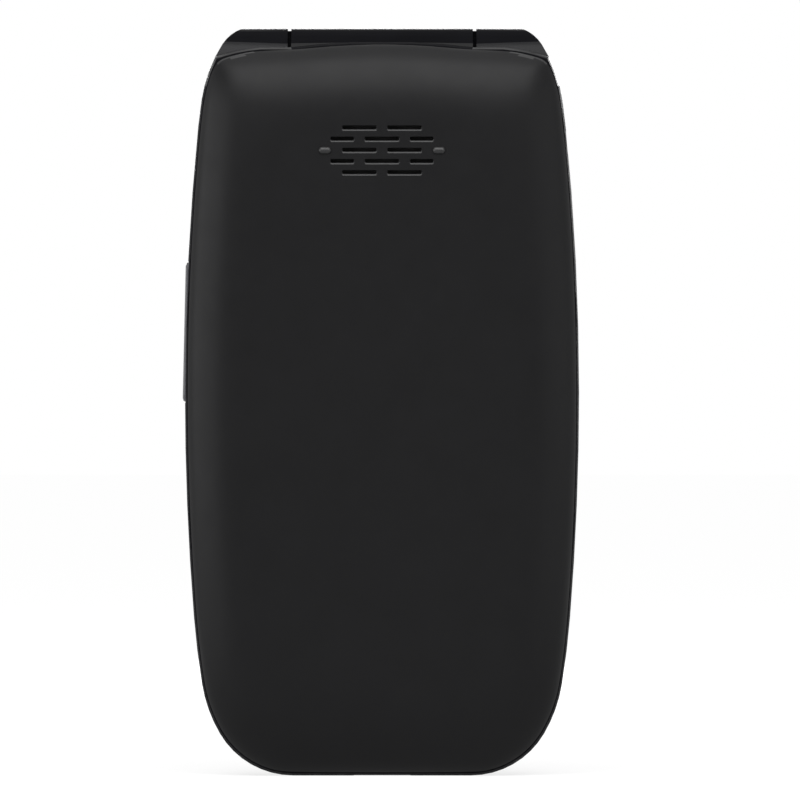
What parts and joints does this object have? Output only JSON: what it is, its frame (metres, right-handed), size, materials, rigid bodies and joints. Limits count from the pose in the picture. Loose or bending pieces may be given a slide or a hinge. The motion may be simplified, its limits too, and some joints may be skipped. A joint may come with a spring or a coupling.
{
  "type": "flip phone",
  "caption": "Closed flip phone with a hinged lid, number keys, outer and inner displays, a lift-off battery cover with a speaker grille and a volume rocker.",
  "frame": {"origin": "middle of the flat foot end on which the closed phone stands", "axes": "+Z along the phone towards the hinge, +Y out of the lid, -Y out of the battery cover, +X to the right seen from the battery cover's side"},
  "size_m": [0.0553, 0.0194, 0.104],
  "materials": {
    "soft_touch": "soft-touch lacquer on moulded plastic",
    "satin_black": "satin moulded plastic",
    "lid_gloss": "smooth lacquered plastic",
    "key_plastic": "fine-grained key caps with printed legends",
    "ring_metal": "metallised plastic",
    "rocker_grey": "satin grey plastic",
    "battery_wrap": "printed film wrap, bare",
    "steel": "stamped and turned steel",
    "contact_gold": "gold-plated springs and antenna strip",
    "moulded_black": "moulded plastic bodies",
    "board": "glass-fibre board with solder mask",
    "screen_glass": "dark window and display panels, switched off",
    "speaker_cloth": "woven dust mesh",
    "silicone": "silicone keypad mat and dome sheet",
    "rubber_black": "soft black rubber",
    "flex_amber": "polyimide flex"
  },
  "bodies": {
    "base": {"rear_housing": "soft_touch", "keypad_housing": "satin_black", "battery": "battery_wrap", "battery_connector": "contact_gold", "main_board": "board", "shield_cans": "steel", "loudspeaker": "moulded_black", "speaker_mesh": "speaker_cloth", "microphone": "steel", "vibration_motor": "steel", "antenna": "contact_gold", "usb_port": "steel", "headset_jack": "moulded_black", "sim_holder": "steel", "keypad_mat": "silicone", "dome_sheet": "silicone", "rocker_switch": "board", "housing_screws": "steel", "hinge_cartridge": "steel", "hinge_flex": "flex_amber"},
    "battery_cover": {"battery_cover": "soft_touch"},
    "lid": {"lid_cover": "lid_gloss", "lid_frame": "satin_black", "main_display": "screen_glass", "display_window": "screen_glass", "outer_display": "screen_glass", "outer_window": "screen_glass", "earpiece": "steel", "earpiece_mesh": "speaker_cloth", "camera_module": "moulded_black", "camera_lens": "screen_glass", "lid_board": "board", "lid_screws": "steel", "screw_plugs": "rubber_black", "lid_bumpers": "rubber_black", "lid_magnet": "steel", "hinge_pin": "steel", "hinge_bush": "steel"},
    "volume_rocker": {"volume_rocker": "rocker_grey"},
    "key_1": {"key_1": "key_plastic"},
    "key_2": {"key_2": "key_plastic"},
    "key_3": {"key_3": "key_plastic"},
    "key_4": {"key_4": "key_plastic"},
    "key_5": {"key_5": "key_plastic"},
    "key_6": {"key_6": "key_plastic"},
    "key_7": {"key_7": "key_plastic"},
    "key_8": {"key_8": "key_plastic"},
    "key_9": {"key_9": "key_plastic"},
    "key_star": {"key_star": "key_plastic"},
    "key_0": {"key_0": "key_plastic"},
    "key_hash": {"key_hash": "key_plastic"},
    "nav_ring": {"nav_ring": "ring_metal"},
    "ok_key": {"ok_key": "key_plastic"},
    "soft_key_left": {"soft_key_left": "key_plastic"},
    "soft_key_right": {"soft_key_right": "key_plastic"},
    "call_key": {"call_key": "key_plastic"},
    "end_key": {"end_key": "key_plastic"}
  },
  "joints": [
    {"name": "lid_hinge", "type": "hinge", "parent": "base", "child": "lid", "pos_m": [0, 0.0015, 0.099], "axis": [1, 0, 0], "range_deg": [0, 155]},
    {"name": "cover_lift", "type": "slide", "parent": "base", "child": "battery_cover", "axis": [0, -1, 0], "range_m": [0, 0.025]},
    {"name": "rocker_tilt", "type": "hinge", "parent": "base", "child": "volume_rocker", "pos_m": [-0.026, -0.00332, 0.06165], "axis": [0, 1, 0], "range_deg": [-1.5, 1.5], "stiffness_Nm_per_rad": 0.05},
    {"name": "key_1_press", "type": "slide", "parent": "base", "child": "key_1", "axis": [0, -1, 0], "range_m": [0, 0.0003], "stiffness_N_per_m": 1000},
    {"name": "key_2_press", "type": "slide", "parent": "base", "child": "key_2", "axis": [0, -1, 0], "range_m": [0, 0.0003], "stiffness_N_per_m": 1000},
    {"name": "key_3_press", "type": "slide", "parent": "base", "child": "key_3", "axis": [0, -1, 0], "range_m": [0, 0.0003], "stiffness_N_per_m": 1000},
    {"name": "key_4_press", "type": "slide", "parent": "base", "child": "key_4", "axis": [0, -1, 0], "range_m": [0, 0.0003], "stiffness_N_per_m": 1000},
    {"name": "key_5_press", "type": "slide", "parent": "base", "child": "key_5", "axis": [0, -1, 0], "range_m": [0, 0.0003], "stiffness_N_per_m": 1000},
    {"name": "key_6_press", "type": "slide", "parent": "base", "child": "key_6", "axis": [0, -1, 0], "range_m": [0, 0.0003], "stiffness_N_per_m": 1000},
    {"name": "key_7_press", "type": "slide", "parent": "base", "child": "key_7", "axis": [0, -1, 0], "range_m": [0, 0.0003], "stiffness_N_per_m": 1000},
    {"name": "key_8_press", "type": "slide", "parent": "base", "child": "key_8", "axis": [0, -1, 0], "range_m": [0, 0.0003], "stiffness_N_per_m": 1000},
    {"name": "key_9_press", "type": "slide", "parent": "base", "child": "key_9", "axis": [0, -1, 0], "range_m": [0, 0.0003], "stiffness_N_per_m": 1000},
    {"name": "key_star_press", "type": "slide", "parent": "base", "child": "key_star", "axis": [0, -1, 0], "range_m": [0, 0.0003], "stiffness_N_per_m": 1000},
    {"name": "key_0_press", "type": "slide", "parent": "base", "child": "key_0", "axis": [0, -1, 0], "range_m": [0, 0.0003], "stiffness_N_per_m": 1000},
    {"name": "key_hash_press", "type": "slide", "parent": "base", "child": "key_hash", "axis": [0, -1, 0], "range_m": [0, 0.0003], "stiffness_N_per_m": 1000},
    {"name": "nav_ring_press", "type": "slide", "parent": "base", "child": "nav_ring", "axis": [0, -1, 0], "range_m": [0, 0.0003], "stiffness_N_per_m": 1000},
    {"name": "ok_key_press", "type": "slide", "parent": "base", "child": "ok_key", "axis": [0, -1, 0], "range_m": [0, 0.0003], "stiffness_N_per_m": 1000},
    {"name": "soft_key_left_press", "type": "slide", "parent": "base", "child": "soft_key_left", "axis": [0, -1, 0], "range_m": [0, 0.0003], "stiffness_N_per_m": 1000},
    {"name": "soft_key_right_press", "type": "slide", "parent": "base", "child": "soft_key_right", "axis": [0, -1, 0], "range_m": [0, 0.0003], "stiffness_N_per_m": 1000},
    {"name": "call_key_press", "type": "slide", "parent": "base", "child": "call_key", "axis": [0, -1, 0], "range_m": [0, 0.0003], "stiffness_N_per_m": 1000},
    {"name": "end_key_press", "type": "slide", "parent": "base", "child": "end_key", "axis": [0, -1, 0], "range_m": [0, 0.0003], "stiffness_N_per_m": 1000}
  ]
}
